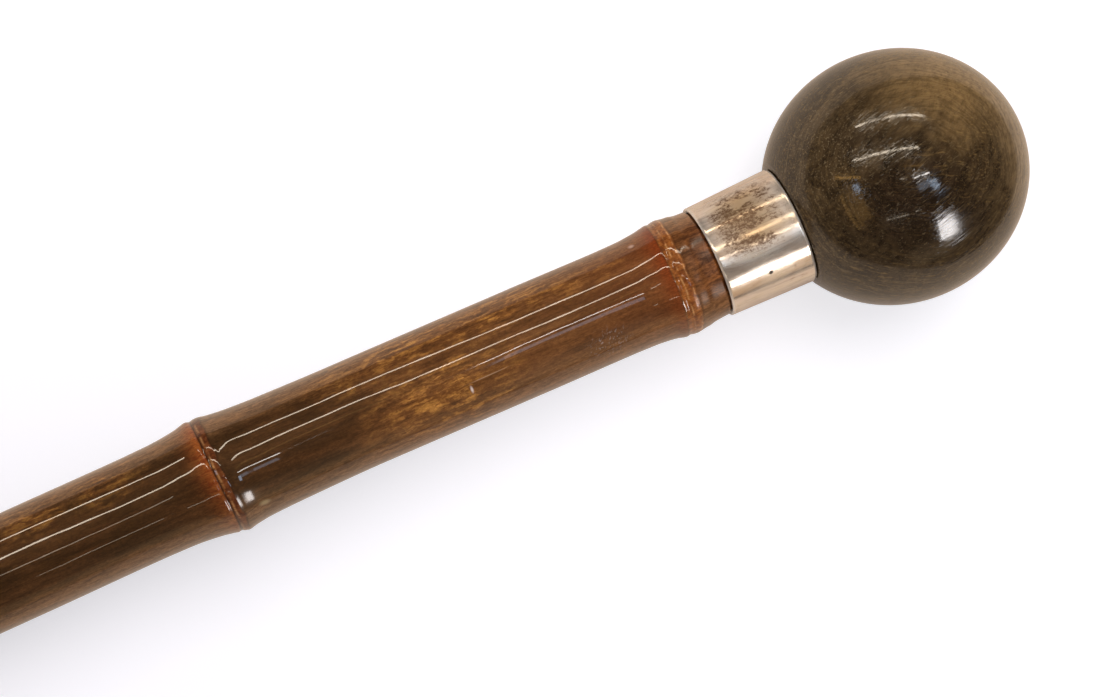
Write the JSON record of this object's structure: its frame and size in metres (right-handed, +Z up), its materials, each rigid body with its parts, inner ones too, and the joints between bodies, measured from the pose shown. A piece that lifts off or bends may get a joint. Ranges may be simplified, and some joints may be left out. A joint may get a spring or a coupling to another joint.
{
  "type": "walking stick",
  "caption": "Walking stick with a round polished horn handle, a thin silver collar, a ringed bamboo shaft and a brass ferrule, lying on its side.",
  "frame": {"origin": "on the table, below the middle of the stick's footprint as it lies", "axes": "+X along the stick from its tip to its handle, +Z up from the table"},
  "size_m": [0.889, 0.0456, 0.0457],
  "materials": {
    "horn": "polished buffalo horn, dark olive brown with tan fibres",
    "silver": "old silver, worn smooth, brown tarnish in patches",
    "bamboo": "glossy brown lacquer over bamboo, amber at the nodes",
    "hardwood": "plain turned hardwood",
    "brass": "aged brass, scuffed",
    "steel": "dull worn steel"
  },
  "bodies": {
    "root": {"ball_handle": "horn", "handle_stud": "steel", "collar": "silver", "collar_pin": "steel", "top_plug": "hardwood", "culm": "bamboo", "tip_plug": "hardwood", "ferrule": "brass", "ferrule_pin": "brass", "ferrule_tip": "steel"}
  },
  "joints": []
}
